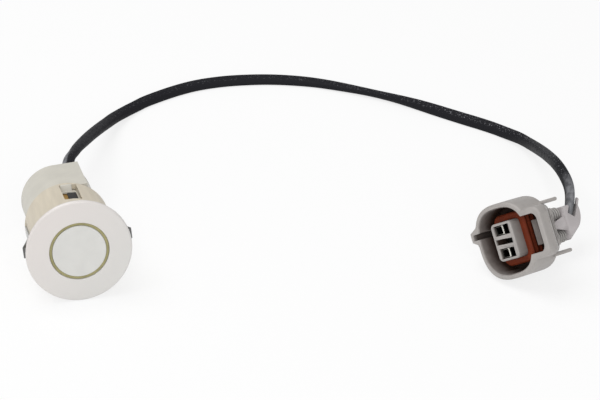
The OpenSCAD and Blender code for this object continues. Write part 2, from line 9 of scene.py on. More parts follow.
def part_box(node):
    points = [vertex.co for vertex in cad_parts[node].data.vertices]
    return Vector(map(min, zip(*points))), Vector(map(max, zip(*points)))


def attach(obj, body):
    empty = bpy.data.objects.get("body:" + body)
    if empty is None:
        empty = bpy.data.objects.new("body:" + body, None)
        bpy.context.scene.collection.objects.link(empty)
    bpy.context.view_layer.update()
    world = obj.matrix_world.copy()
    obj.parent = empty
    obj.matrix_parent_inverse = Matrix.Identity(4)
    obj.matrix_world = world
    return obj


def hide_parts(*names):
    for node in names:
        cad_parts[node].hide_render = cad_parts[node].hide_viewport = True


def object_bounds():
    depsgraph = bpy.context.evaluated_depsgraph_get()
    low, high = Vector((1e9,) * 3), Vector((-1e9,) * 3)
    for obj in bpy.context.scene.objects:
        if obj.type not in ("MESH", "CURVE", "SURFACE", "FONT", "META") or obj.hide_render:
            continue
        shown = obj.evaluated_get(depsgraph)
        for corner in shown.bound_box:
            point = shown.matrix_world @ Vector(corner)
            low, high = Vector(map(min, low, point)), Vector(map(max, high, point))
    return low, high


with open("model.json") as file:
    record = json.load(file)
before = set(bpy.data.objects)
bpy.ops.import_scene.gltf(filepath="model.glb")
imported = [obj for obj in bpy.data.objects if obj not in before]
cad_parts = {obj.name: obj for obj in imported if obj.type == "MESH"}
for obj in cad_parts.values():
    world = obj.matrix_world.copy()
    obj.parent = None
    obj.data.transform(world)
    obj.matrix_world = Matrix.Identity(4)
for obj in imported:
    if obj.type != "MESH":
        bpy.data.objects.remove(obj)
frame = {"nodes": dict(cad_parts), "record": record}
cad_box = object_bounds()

bl_info = {
    "name": "Parking Sensor Finish",
    "version": (1, 0, 0),
    "blender": (4, 5, 0),
    "location": "3D View > Sidebar > Sensor",
    "description": "Finishes the pieces of an ultrasonic parking sensor, its cable and its connector",
    "category": "Object",
}

MM = 0.001
ROOT = "root"
MOUNTS = {mount["name"]: mount for mount in frame["record"]["mounts"]}


def mm(*values):
    """Millimetres as metres."""
    return tuple(value * MM for value in values)


# Turn of the connector on the table about x, then y, then z, as in the solids
PLUG_TURN = (-10.3, -32.6, -54.9)

# Where the cable leaves the grommet and ends in the rear cover, in millimetres and degrees in the frames of
# the head and the connector
EXIT_RADIUS, EXIT_TURN, EXIT_DEPTH = 6.25, 53.5, 39.6
EXIT_RUN, EXIT_LEAN = 4.0, 0.4
ENTRY, ENTRY_ANGLE, ENTRY_RUN = (1.2, 25.2, 1.6), 55.0, 4.2

# Turn of the flat jacket about its own line, in degrees at points of the route
CABLE_ROLL = (
    (0, 20), (3, 20), (5, -16), (10, -40), (15, -30), (18, -2),
    (20, 48), (22, 101), (24, 115), (28, 95), (31, 111), (34, 115),
)

# Size of the smooth jacket against the solid's flats: slim in the grommet and the rear cover, full between
SLIM, FULL, SLIM_END = 0.965, 1.03, 0.03

# Passes that ease the cable's height where it comes down to the table, and the height that they reach
EASE_PASSES, EASE_BELOW = 12, 4.0 * MM

# Shares of the way along the cable where the painted sheen at the grommet fades and the painted highlight at
# the connector begins
SHEEN_FADES, HIGHLIGHT_BEGINS = (0.09, 0.06), (0.912, 0.945)

# Copies of nodes: corners this close are one, and faces that turn by fewer degrees than this are one flat
ONE_CORNER, ONE_FLAT = 0.002 * MM, 0.3

# Edges that turn by more degrees than this are rounded, in so many steps
ROUND_ABOVE, ROUND_STEPS = 28.0, 2

# Edges that turn by more degrees than this stay crisp in the shading, on finished nodes and on the cable
CRISP_ABOVE, CABLE_CRISP_ABOVE = 50.0, 60.0

# Share of the room beside an edge that its rounding may take, alone or with another rounding across from it,
# and sine of the turn from which two rounded edges make a corner
ROOM_ALONE, ROOM_SHARED, CORNER_SINE = 0.95, 0.48, 0.5

# Rounding of the sheet metal and of the ribs on the wire seals
CLIP_EDGE, CONTACT_EDGE, RIB_EDGE = mm(0.08, 0.06, 0.08)

# Noise lies mostly between these values
NOISE_LOW, NOISE_HIGH = 0.3, 0.7

# Marks on the head: width over which the paint ends, reach of the painted shade on its lower right, where the
# clips brighten behind the painted shade at their peaks, and depth, half width and rear end of the painted
# shade in the window's pocket
PAINT_FADES, PAINT_SHADE_REACH = mm(0.5, 16)
CLIP_BRIGHTENS = mm(1.0, 3.5)
POCKET_SHADE_DEPTH, POCKET_SHADE_HALF, POCKET_SHADE_BACK = mm(0.6, 2.7, 20)

# Painted shade in the hollows of the housing, the openings in the nose and the key channel: sides across and
# along the terminals, depths between which the painted shade deepens, and how dark it gets
HOUSING_HOLLOWS = (
    (mm(-3.3, 3.3), mm(-4.7, 4.7), mm(0.1, 0.8), 0.95),
    (mm(-10.6, -7.8), mm(2.1, 3.9), mm(0.1, 1.5), 0.8),
)

# Shares of the mouth's depth over which painted shade falls in it, and how much painted shade the nose and
# the rest of the mouth get from the rim to the floor
SHADED_FROM, SHADED_TO = 0.02, 1.02
NOSE_SHADE, MOUTH_SHADE = (0.0, 0.6), (0.3, 1.0)

# Where painted shade darkens the terminals, inwards and to the side, and height of the ribs on the wire seals
CONTACT_INWARDS, CONTACT_ASIDE = mm(0.8, 1.3), mm(-0.1, -0.5)
RIB_HEIGHT = 0.3 * MM

# Table and softboxes in metres, share of plain white in the table that the camera sees, and width of the
# camera's sensor in millimetres
TABLE_HALF, TABLE_LIFT = 4.0, 0.78
LIT, BOX_WIDTH = Vector((0.06, 0.02, 0.0)), 0.7
KEY_PLACE, FILL_PLACE = Vector((-0.25, 0.1, 0.85)), Vector((-0.05, -1.0, 0.55))
SENSOR_WIDTH = 36.0


def head_frame():
    """Matrix of the sensor head: x to the right, y from the face along the axis, z up."""
    axis = Vector(MOUNTS["bumper_seat"]["axis"]).normalized()
    low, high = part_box("transducer_cup")
    radius = (high.x - low.x) / 2
    depth = (high.y - low.y - 2 * radius * abs(axis.z)) / axis.y
    face = (low + high) / 2 - axis * depth / 2
    right = Vector((1, 0, 0))
    turn = Matrix((right, axis, right.cross(axis))).transposed()
    return Matrix.Translation(face) @ turn.to_4x4()


def plug_frame():
    """Matrix of the connector: x towards the latch, y away from the mouth, z to the upper terminal."""
    turn = Euler([math.radians(angle) for angle in PLUG_TURN], "XYZ").to_matrix().to_4x4()
    return Matrix.Translation(Vector(MOUNTS["connector_mouth"]["pos_m"])) @ turn


HEAD = head_frame()
PLUG = plug_frame()


def head_pt(x, y, z):
    """Point of the head, given in millimetres in its own frame."""
    return HEAD @ (Vector((x, y, z)) * MM)


def plug_pt(x, y, z):
    """Point of the connector, given in millimetres in its own frame."""
    return PLUG @ (Vector((x, y, z)) * MM)


def colour(name, description, default):
    """Property for a colour."""
    return bpy.props.FloatVectorProperty(
        name=name, description=description, subtype="COLOR", size=3, min=0, max=1, default=default
    )


def length(name, description, default):
    """Property for a length in metres."""
    return bpy.props.FloatProperty(
        name=name, description=description, subtype="DISTANCE", unit="LENGTH", min=0, default=default
    )


class SensorHeadSettings(bpy.types.PropertyGroup):
    """Colours and edge sizes of the sensor head."""

    paint: colour("Paint", "Pearl white paint on the flange", (0.745, 0.7, 0.675))
    # Paint shaded: painted shade on the lower right of the pearl paint
    paint_shaded: colour("Paint shade", "Cooler side of the pearl paint", (0.69, 0.675, 0.65))
    sleeve: colour("Sleeve", "Unpainted cream moulding behind the flange", (0.65, 0.585, 0.47))
    face: colour("Face", "Painted floor of the transducer cup", (0.68, 0.675, 0.648))
    ring: colour("Ring", "Soft ring around the face", (0.36, 0.33, 0.16))
    case: colour("Case", "Off-white moulding of the case", (0.625, 0.602, 0.535))
    # Pocket shade: painted shade, yellow-brown, on the floor of the window's pocket under the pad
    glue: colour("Glue", "Amber glue under the pad in the window", (0.42, 0.25, 0.07))
    compound: colour("Compound", "Sealing compound in the rear of the case", (0.03, 0.03, 0.032))
    grommet: colour("Grommet", "Grey rubber where the cable leaves", (0.3, 0.3, 0.3))
    # The clips' colour is their painted shade at the peaks; behind the peaks it is made three times lighter
    clip: colour("Clips", "Treated spring steel", (0.2, 0.2, 0.195))
    pad: colour("Pad", "Soft pad in the window", (0.02, 0.02, 0.022))
    paint_edge: length("Paint edge", "Depth behind the face where the paint ends", 1.9 * MM)
    clip_peak: length("Clip peak", "Depth behind the face where the clips reach out most", 5.7 * MM)
    pocket_shade_top: length("Glue top", "Height of the glue in the window above the axis", 9.28 * MM)
    edge: length("Edge", "Rounding of moulded edges", 0.15 * MM)


class CableSettings(bpy.types.PropertyGroup):
    """Size and colours of the cable."""

    width: length("Width", "Width of the flat jacket", 3.5 * MM)
    thickness: length("Thickness", "Thickness of the flat jacket", 2.3 * MM)
    jacket: colour("Jacket", "Satin black jacket", (0.0185, 0.0185, 0.0215))
    # Colour of the painted highlights on the jacket
    painted_highlight: colour("Scuffs", "Pale rubbed patches of the jacket", (0.22, 0.222, 0.235))
    sides: bpy.props.IntProperty(name="Sides", description="Faces around the jacket", min=8, default=24)
    steps: bpy.props.IntProperty(name="Steps", description="Rings between route points", min=2, default=6)


class ConnectorSettings(bpy.types.PropertyGroup):
    """Colours and edge sizes of the connector."""

    housing: colour("Housing", "Grey moulding of the housing", (0.385, 0.362, 0.345))
    cover: colour("Cover", "Pale grey moulding of the rear cover", (0.455, 0.424, 0.426))
    seal: colour("Seal", "Red-brown silicone seal", (0.19, 0.034, 0.013))
    wire_seal: colour("Wire seals", "Grey silicone seals on the wires", (0.4, 0.385, 0.37))
    contact: colour("Contacts", "Tin-plated terminals", (0.78, 0.76, 0.7))
    lock: colour("Lock", "Black lock plate", (0.02, 0.02, 0.02))
    # Colour of the painted shade deep in the mouth and in the hollows of the housing
    painted_shade: colour("Grime", "Dark dirt deep in the mouth", (0.04, 0.02, 0.013))
    pitch: length("Pitch", "Distance between the terminals", 6.2 * MM)
    groove_radius: length("Groove radius", "Radius of the wire seals between their ribs", 1.42 * MM)
    mouth_width: length("Mouth width", "Inside width of the hood across the latch", 17 * MM)
    mouth_height: length("Mouth height", "Inside height of the hood along the terminals", 17.8 * MM)
    mouth_depth: length("Mouth depth", "Depth of the mouth's floor", 7.7 * MM)
    mouth_power: bpy.props.FloatProperty(
        name="Mouth power", description="Squareness of the hood", min=2, default=2.7
    )
    nose_width: length("Nose width", "Width of the terminal nose", 7.6 * MM)
    nose_height: length("Nose height", "Height of the terminal nose", 10.3 * MM)
    latch_back: length("Latch back", "Outer side of the latch bar", 10.6 * MM)
    window_reach: length("Window reach", "Outer side of the window in the latch guard", 13.3 * MM)
    window_height: length("Window height", "Height of the window in the latch guard", 10.6 * MM)
    edge: length("Edge", "Rounding of moulded edges", 0.2 * MM)


class StageSettings(bpy.types.PropertyGroup):
    """Floor, lights and camera."""

    azimuth: bpy.props.FloatProperty(
        name="Azimuth", description="Turn of the camera about the upright axis", subtype="ANGLE",
        default=math.radians(-14.119)
    )
    elevation: bpy.props.FloatProperty(
        name="Elevation", description="Height of the camera above the table", subtype="ANGLE",
        default=math.radians(28.505)
    )
    distance: length("Distance", "Distance from the camera to its aim", 650 * MM)
    aim: bpy.props.FloatVectorProperty(
        name="Aim", description="Point at the middle of the picture", subtype="XYZ", unit="LENGTH",
        default=(57.1 * MM, -27.14 * MM, 25.75 * MM)
    )
    lens: bpy.props.FloatProperty(name="Lens", description="Focal length in millimetres", default=150.1)
    floor: colour("Floor", "Pale table top", (0.93, 0.93, 0.93))
    sky: bpy.props.FloatProperty(
        name="Sky", description="Strength of the even light", min=0, default=0.43
    )
    key: bpy.props.FloatProperty(
        name="Key", description="Power of the overhead softbox in watts", min=0, default=4.4
    )
    fill: bpy.props.FloatProperty(
        name="Fill", description="Power of the front softbox in watts", min=0, default=4.4
    )


def head():
    """Settings of the sensor head."""
    return bpy.context.scene.sensor_head


def wire():
    """Settings of the cable."""
    return bpy.context.scene.sensor_cable


def plug():
    """Settings of the connector."""
    return bpy.context.scene.sensor_connector


def stage():
    """Settings of the stage."""
    return bpy.context.scene.sensor_stage


# Node trees

def add(tree, kind, inputs=None, **settings):
    """Adds one shader node; an input is a value or the socket that feeds it."""
    made = tree.nodes.new("ShaderNode" + kind)
    for key, value in settings.items():
        setattr(made, key, value)
    for key, value in (inputs or {}).items():
        if isinstance(value, bpy.types.NodeSocket):
            tree.links.new(value, made.inputs[key])
        else:
            made.inputs[key].default_value = value
    return made


def bare_tree(owner):
    """Empty node tree of a material or a world."""
    owner.use_nodes = True
    owner.node_tree.nodes.clear()
    return owner.node_tree


def new_finish(name, **sockets):
    """Material with one Principled shader; returns it with its tree and shader."""
    finish = bpy.data.materials.new(name)
    tree = bare_tree(finish)
    shader = add(tree, "BsdfPrincipled", sockets)
    output = add(tree, "OutputMaterial")
    tree.links.new(shader.outputs["BSDF"], output.inputs["Surface"])
    return finish, tree, shader


def rgba(value, factor=1.0):
    """Colour with its alpha, made darker or lighter by a factor."""
    return (*(min(1.0, c * factor) for c in value[:3]), 1.0)


def maths(tree, operation, first, second):
    """One Math node; returns its value socket."""
    return add(tree, "Math", {0: first, 1: second}, operation=operation).outputs[0]


def within(tree, value, low, high):
    """1 where a value lies between two limits, else 0; returns the value socket."""
    over = maths(tree, "GREATER_THAN", value, low)
    return maths(tree, "MULTIPLY", over, maths(tree, "LESS_THAN", value, high))


def ramp_up(tree, value, start, end, low=0.0, high=1.0):
    """Clamped straight ramp of a value; returns its value socket."""
    inputs = {"Value": value, "From Min": start, "From Max": end, "To Min": low, "To Max": high}
    return add(tree, "MapRange", inputs).outputs["Result"]


def spread(tree, noise, low, high):
    """Maps a noise onto a range of numbers; returns its value socket."""
    return ramp_up(tree, noise, NOISE_LOW, NOISE_HIGH, low, high)


def varied(tree, noise, shade, low, high):
    """Colour that a noise makes darker and lighter by two factors; returns its colour socket."""
    ramp = add(tree, "ValToRGB", {"Fac": noise})
    ends = zip(ramp.color_ramp.elements, (NOISE_LOW, NOISE_HIGH), (low, high))
    for end, position, factor in ends:
        end.position = position
        end.color = rgba(shade, factor)
    return ramp.outputs["Color"]


def blend(tree, factor, first, second):
    """Mixes two colours; returns the colour socket."""
    return add(tree, "Mix", {0: factor, 6: first, 7: second}, data_type="RGBA").outputs[2]


def on_piece(tree, **mapping):
    """Place on the piece, mapped if need be; returns its vector socket."""
    coords = add(tree, "TexCoord").outputs["Object"]
    if not mapping:
        return coords
    return add(tree, "Mapping", {"Vector": coords, **mapping}).outputs["Vector"]


def local_axes(tree, matrix):
    """Place on the piece in a frame of its own, as the three outputs X, Y and Z in metres."""
    inverse = matrix.inverted()
    local = on_piece(tree, Location=inverse.to_translation(), Rotation=inverse.to_euler())
    return add(tree, "SeparateXYZ", {"Vector": local}).outputs


def attribute(tree, name):
    """Value that the piece keeps on its vertices; returns its value socket."""
    return add(tree, "Attribute", attribute_name=name).outputs["Fac"]


def grain(tree, size_mm, detail, coords=None):
    """Noise whose cells are about size_mm across on the piece; returns its value socket."""
    inputs = {"Vector": coords or on_piece(tree), "Scale": 1.0 / (size_mm * MM), "Detail": detail}
    return add(tree, "TexNoise", inputs).outputs["Fac"]


def surface(tree, shader, base, rough, relief, depth_mm):
    """Feeds colour, roughness and relief of a depth to the shader."""
    bump = add(tree, "Bump", {"Height": relief, "Distance": depth_mm * MM, "Strength": 1.0})
    tree.links.new(base, shader.inputs["Base Color"])
    tree.links.new(rough, shader.inputs["Roughness"])
    tree.links.new(bump.outputs["Normal"], shader.inputs["Normal"])


# Finishes

def moulded(name, shade, rough=(0.38, 0.52)):
    """Moulded plastic: faint clouds of colour, uneven gloss and a fine spark-eroded grain."""
    finish, tree, shader = new_finish(name, IOR=1.48)
    base = varied(tree, grain(tree, 5.0, 3.0), shade, 0.95, 1.04)
    fine = grain(tree, 0.16, 2.0)
    surface(tree, shader, base, spread(tree, fine, *rough), fine, 0.012)
    return finish


def soft_rubber(name, shade, rough=(0.5, 0.7), depth_mm=0.02, bloom=0.08, gloss=0.5):
    """Rubber or silicone: matt, with a slightly dusty bloom."""
    sockets = {"IOR": 1.42, "Sheen Weight": bloom, "Sheen Roughness": 0.5, "Specular IOR Level": gloss}
    finish, tree, shader = new_finish(name, **sockets)
    clouds = grain(tree, 2.5, 4.0)
    base = varied(tree, clouds, shade, 0.82, 1.12)
    surface(tree, shader, base, spread(tree, clouds, *rough), grain(tree, 0.25, 3.0), depth_mm)
    return finish


def sheet_metal(name, shade, brush=(1.0, 12.0, 1.0)):
    """Rolled metal: brushed along one way, with faint stains."""
    finish, tree, shader = new_finish(name, Metallic=1.0)
    lines = grain(tree, 0.5, 4.0, on_piece(tree, Scale=brush))
    base = varied(tree, grain(tree, 1.8, 3.0), shade, 0.8, 1.1)
    surface(tree, shader, base, spread(tree, lines, 0.25, 0.45), lines, 0.006)
    return finish


def painted_cup(name, shade):
    """Thin satin paint on the metal cup, with a faint orange-peel."""
    sockets = {"IOR": 1.5, "Coat Weight": 0.15, "Coat Roughness": 0.2}
    finish, tree, shader = new_finish(name, **sockets)
    clouds = grain(tree, 3.0, 3.0)
    base = varied(tree, clouds, shade, 0.97, 1.02)
    surface(tree, shader, base, spread(tree, clouds, 0.34, 0.42), grain(tree, 0.6, 2.0), 0.005)
    return finish


def painted_moulding(name, s):
    """Pearl paint on the flange, with painted shade to the lower right, that ends in bare streaked moulding
    behind it.
    """
    finish, tree, shader = new_finish(name, **{"IOR": 1.5, "Coat Roughness": 0.12})
    place = local_axes(tree, HEAD)
    ragged = maths(tree, "MULTIPLY", grain(tree, 0.7, 3.0), PAINT_FADES)
    edge = maths(tree, "ADD", place["Y"], ragged)
    behind = ramp_up(tree, edge, s.paint_edge, s.paint_edge + PAINT_FADES)
    # Painted shade: the pearl paint turns darker and cooler towards the lower right
    lower_right = maths(tree, "SUBTRACT", place["X"], place["Z"])
    lower_right = ramp_up(tree, lower_right, -PAINT_SHADE_REACH, PAINT_SHADE_REACH)
    flakes = maths(tree, "MULTIPLY", grain(tree, 0.05, 1.0), 0.12)
    pearl = blend(tree, maths(tree, "ADD", lower_right, flakes), rgba(s.paint), rgba(s.paint_shaded))
    drawn = on_piece(tree, Scale=(1.0, 0.08, 1.0))
    streaks = varied(tree, grain(tree, 1.4, 3.0, drawn), s.sleeve, 0.93, 1.06)
    rough = ramp_up(tree, behind, 0, 1, 0.3, 0.5)
    surface(tree, shader, blend(tree, behind, pearl, streaks), rough, grain(tree, 0.5, 2.0), 0.006)
    tree.links.new(ramp_up(tree, behind, 0, 1, 0.25, 0.0), shader.inputs["Coat Weight"])
    return finish


def case_moulding(name, s):
    """Off-white moulding with a painted shade of yellow-brown on the floor of the window's pocket."""
    finish, tree, shader = new_finish(name, IOR=1.48)
    place = local_axes(tree, HEAD)
    # Painted shade: the floor of the window's pocket is tinted yellow-brown
    level = within(tree, place["Z"], s.pocket_shade_top - POCKET_SHADE_DEPTH, s.pocket_shade_top)
    across = within(tree, place["X"], -POCKET_SHADE_HALF, POCKET_SHADE_HALF)
    ahead = maths(tree, "LESS_THAN", place["Y"], POCKET_SHADE_BACK)
    pocket_shaded = maths(tree, "MULTIPLY", maths(tree, "MULTIPLY", level, across), ahead)
    clouds = varied(tree, grain(tree, 5.0, 3.0), s.case, 0.95, 1.05)
    amber = varied(tree, grain(tree, 0.8, 3.0), s.glue, 0.7, 1.2)
    fine = grain(tree, 0.16, 2.0)
    surface(tree, shader, blend(tree, pocket_shaded, clouds, amber), spread(tree, fine, 0.38, 0.52), fine, 0.012)
    return finish


def clip_steel(name, s):
    """Treated spring steel with painted shade that makes it dark at the peaks, lighter behind them where the
    clip lies on the sleeve.
    """
    finish, tree, shader = new_finish(name, Metallic=1.0)
    # Painted shade: dark at the peaks, three times lighter behind them
    start, end = (s.clip_peak + way for way in CLIP_BRIGHTENS)
    flank = ramp_up(tree, local_axes(tree, HEAD)["Y"], start, end)
    stains = varied(tree, grain(tree, 1.8, 3.0), s.clip, 0.8, 1.1)
    base = blend(tree, flank, stains, rgba(s.clip, 3.0))
    fine = grain(tree, 0.4, 3.0)
    surface(tree, shader, base, spread(tree, fine, 0.4, 0.6), fine, 0.006)
    return finish


def housing_moulding(name, s):
    """Grey moulding with painted shade that darkens the mouth, the nose's openings and the key channel."""
    finish, tree, shader = new_finish(name, IOR=1.48)
    place = local_axes(tree, PLUG)
    # Painted shade: darker the deeper a vertex lies in the mouth, with noise patches, and in the hollows
    # below
    patches = maths(tree, "MULTIPLY", grain(tree, 1.5, 3.0), 0.2)
    dark = ramp_up(tree, maths(tree, "ADD", attribute(tree, "mouth_depth"), patches), 0.1, 0.85)
    for across, along, depth, most in HOUSING_HOLLOWS:
        hollow = maths(tree, "MULTIPLY", within(tree, place["X"], *across), within(tree, place["Z"], *along))
        hollow = maths(tree, "MULTIPLY", hollow, ramp_up(tree, place["Y"], *depth, 0.0, most))
        dark = maths(tree, "MAXIMUM", dark, hollow)
    clouds = varied(tree, grain(tree, 4.0, 3.0), s.housing, 0.95, 1.05)
    fine = grain(tree, 0.16, 2.0)
    base = blend(tree, dark, clouds, rgba(s.painted_shade))
    surface(tree, shader, base, spread(tree, fine, 0.38, 0.52), fine, 0.012)
    return finish


def contact_plate(name, s):
    """Tin plate that is bright on the front edge of the contact bar, with painted shade darkening it inside
    the box.
    """
    finish, tree, shader = new_finish(name, Metallic=1.0)
    place = local_axes(tree, PLUG)
    # Painted shade: the tin darkens to near black inwards and to the side
    inwards = ramp_up(tree, place["Y"], *CONTACT_INWARDS)
    aside = ramp_up(tree, place["X"], *CONTACT_ASIDE, 0.0, 0.9)
    bright = varied(tree, grain(tree, 0.8, 3.0), s.contact, 0.85, 1.1)
    base = blend(tree, maths(tree, "MAXIMUM", inwards, aside), bright, rgba(s.contact, 0.04))
    fine = grain(tree, 0.3, 3.0)
    surface(tree, shader, base, spread(tree, fine, 0.3, 0.5), fine, 0.006)
    return finish


def ribbed_silicone(name, s):
    """Silicone of the wire seals, with painted shade in the grooves between the ribs."""
    finish, tree, shader = new_finish(name, IOR=1.42)
    place = local_axes(tree, PLUG)
    aside = maths(tree, "SUBTRACT", maths(tree, "ABSOLUTE", place["Z"], 0.0), s.pitch / 2)
    across = add(tree, "CombineXYZ", {"X": place["X"], "Y": aside}).outputs["Vector"]
    radius = add(tree, "VectorMath", {0: across}, operation="LENGTH").outputs["Value"]
    # Painted shade: the grooves between the ribs are a third as bright as the crowns
    crown = ramp_up(tree, radius, s.groove_radius, s.groove_radius + RIB_HEIGHT)
    clouds = varied(tree, grain(tree, 1.5, 3.0), s.wire_seal, 0.9, 1.08)
    base = blend(tree, crown, rgba(s.wire_seal, 0.35), clouds)
    fine = grain(tree, 0.25, 3.0)
    surface(tree, shader, base, spread(tree, fine, 0.5, 0.7), fine, 0.02)
    return finish


def jacket(name, shade, painted_highlight):
    """Satin cable jacket with painted highlights: pale glints on its upper side, a painted sheen on its left
    side near the grommet and pale patches on its upper side near the connector.
    """
    finish, tree, shader = new_finish(name, **{"IOR": 1.42, "Specular IOR Level": 0.04})
    along, crest, flank = (attribute(tree, key) for key in ("along", "crest", "flank"))
    # Painted highlights: pale glints on the upper side, a sheen on the left side by the grommet, pale patches
    # by the connector
    upper = maths(tree, "MULTIPLY", ramp_up(tree, crest, 0.4, 0.8), ramp_up(tree, along, 0.45, 0.6, 0.3, 1.0))
    glints = maths(tree, "MULTIPLY", ramp_up(tree, grain(tree, 0.4, 2.0), 0.6, 0.68, 0.0, 0.9), upper)
    sheeny = maths(tree, "MULTIPLY", ramp_up(tree, along, *HIGHLIGHT_BEGINS), ramp_up(tree, crest, 0.1, 0.8))
    sheeny = maths(tree, "MULTIPLY", sheeny, ramp_up(tree, grain(tree, 1.8, 2.0), 0.35, 0.6, 0.4, 1.0))
    sheened = maths(tree, "MULTIPLY", ramp_up(tree, flank, 0.1, 0.55), ramp_up(tree, along, *SHEEN_FADES))
    sheened = maths(tree, "MULTIPLY", sheened, ramp_up(tree, grain(tree, 1.2, 3.0), 0.3, 0.5, 0.5, 1.0))
    highlighted = maths(tree, "MAXIMUM", maths(tree, "MAXIMUM", glints, sheeny), sheened)
    base = blend(tree, highlighted, rgba(shade), rgba(painted_highlight))
    rough = spread(tree, grain(tree, 0.9, 3.0), 0.38, 0.56)
    surface(tree, shader, base, rough, grain(tree, 0.5, 3.0), 0.03)
    return finish


# Meshes

def show(name, mesh, finish, replaced):
    """Puts a finished mesh in the scene in place of nodes, riding with the part."""
    piece = bpy.data.objects.new(name, mesh)
    bpy.context.scene.collection.objects.link(piece)
    mesh.materials.append(finish)
    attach(piece, ROOT)
    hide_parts(*replaced)
    return piece


def to_mesh(bm, name, crisp):
    """Writes a bmesh to a new smooth-shaded mesh that keeps its sharp edges."""
    mesh = bpy.data.meshes.new(name)
    bm.to_mesh(mesh)
    bm.free()
    mesh.polygons.foreach_set("use_smooth", [True] * len(mesh.polygons))
    mesh.set_sharp_from_angle(angle=math.radians(crisp))
    return mesh


def merged_copy(node):
    """The node's solid as one connected bmesh with its flat faces whole."""
    bm = bmesh.new()
    bm.from_mesh(frame["nodes"][node].data)
    bmesh.ops.remove_doubles(bm, verts=bm.verts, dist=ONE_CORNER)
    bmesh.ops.dissolve_limit(bm, angle_limit=math.radians(ONE_FLAT), verts=bm.verts, edges=bm.edges)
    return bm


def room_at(edge, sharp):
    """Room beside a sharp edge for its rounding, before it meets the next edge."""
    way = (edge.verts[1].co - edge.verts[0].co).normalized()
    room = math.inf
    corners = 0
    for v in edge.verts:
        turned = False
        for other in v.link_edges:
            if other is edge:
                continue
            far = other.other_vert(v)
            sine = way.cross((far.co - v.co).normalized()).length
            if other in sharp:
                turned = turned or sine > CORNER_SINE
            else:
                shared = any(e in sharp for e in far.link_edges)
                room = min(room, other.calc_length() * sine * (ROOM_SHARED if shared else ROOM_ALONE))
        corners += turned
    if corners:
        room = min(room, edge.calc_length() / corners * ROOM_ALONE)
    return room


def softened(node, edge):
    """Copy of a node whose sharp edges are rounded by a small bevel wherever there is room for it."""
    bm = merged_copy(node)
    edges = {e for e in bm.edges if e.is_manifold and e.calc_face_angle() > math.radians(ROUND_ABOVE)}
    tight = True
    while tight:
        tight = {e for e in edges if room_at(e, edges) < edge}
        edges -= tight
    bmesh.ops.bevel(
        bm, geom=[e for e in bm.edges if e in edges], offset=edge, offset_type="OFFSET",
        segments=ROUND_STEPS, profile=0.5, affect="EDGES", clamp_overlap=False, material=-1
    )
    return to_mesh(bm, node + "_finished", CRISP_ABOVE)


def finished_node(node, finish, edge):
    """Replaces a node by its softened copy with a finish, shaded evenly across its flats."""
    piece = show(node + "_finished", softened(node, edge), finish, [node])
    even = piece.modifiers.new("even_shading", "WEIGHTED_NORMAL")
    even.keep_sharp = True
    return piece


def dress(node, finish):
    """Gives a node that stays as it is a new material."""
    mesh = frame["nodes"][node].data
    mesh.materials.clear()
    mesh.materials.append(finish)


def mark_mouth(mesh, s):
    """Keeps on each vertex inside the connector's mouth how much painted shade it gets for how deep it lies,
    from 0 to 1.
    """
    inverse = PLUG.inverted()
    depth = mesh.attributes.new("mouth_depth", "FLOAT", "POINT")
    for v in mesh.vertices:
        x, y, z = inverse @ v.co
        share = y / s.mouth_depth
        on_nose = abs(x) < s.nose_width / 2 and abs(z) < s.nose_height / 2
        aside, upward = abs(x / s.mouth_width * 2), abs(z / s.mouth_height * 2)
        in_hood = aside ** s.mouth_power + upward ** s.mouth_power < 1
        behind_bar = x > s.latch_back - 2 * s.edge and y > s.mouth_depth / 2
        in_window = 0 < x < s.window_reach and abs(z) < s.window_height / 2 and not behind_bar
        # Painted shade, from the rim to the floor of the mouth, lighter on the nose
        if SHADED_FROM < share < SHADED_TO and (in_hood or in_window):
            least, most = NOSE_SHADE if on_nose else MOUTH_SHADE
            depth.data[v.index].value = least + (most - least) * share


# Cable route

def route():
    """Points of the cable from the grommet to the rear cover, as in the solids."""
    lie = wire().thickness / 2 / MM
    around = math.radians(EXIT_TURN)
    leaving = head_pt(EXIT_RADIUS * math.cos(around), EXIT_DEPTH, EXIT_RADIUS * math.sin(around))
    out = HEAD.to_3x3() @ Vector((0, 1, 0))
    pitch = math.radians(ENTRY_ANGLE)
    entering = plug_pt(*ENTRY)
    back = PLUG.to_3x3() @ Vector((0, math.cos(pitch), math.sin(pitch)))
    middle = [
        (5.7, 31.3, 14.4), (8, 36.9, 13.6), (10.5, 42.9, 12.4), (15.7, 55.2, 9), (21.1, 67, 5.5),
        (26, 76, 3), (31, 82.3, 1.8), (35.5, 86.3, lie), (39.5, 88.9, lie), (48, 92.9, lie),
        (55.5, 95.2, lie), (63.5, 95.9, lie), (71, 95.3, lie), (78, 93.9, lie), (85, 91.5, lie),
        (91.6, 88.3, lie), (98.1, 83.9, lie), (104.4, 78.7, lie), (110.4, 72.7, lie), (115.9, 66.5, lie),
        (121.4, 60.1, lie), (126.9, 53.7, lie), (131.5, 48.4, lie), (135.1, 43.6, lie), (137.5, 38.6, 2.3),
        (139.2, 32.6, 3.2), (139.4, 23.9, 5.6), (137.4, 8.3, 11.1), (135.2, -6.3, 15.7), (134.8, -13.9, 16),
        (134.5, -18.8, 14.8),
    ]
    points = [leaving, leaving + (EXIT_RUN * out + Vector((EXIT_LEAN, 0, 0))) * MM]
    points += [Vector(p) * MM for p in middle]
    points += [entering + ENTRY_RUN * MM * back, entering]
    return points


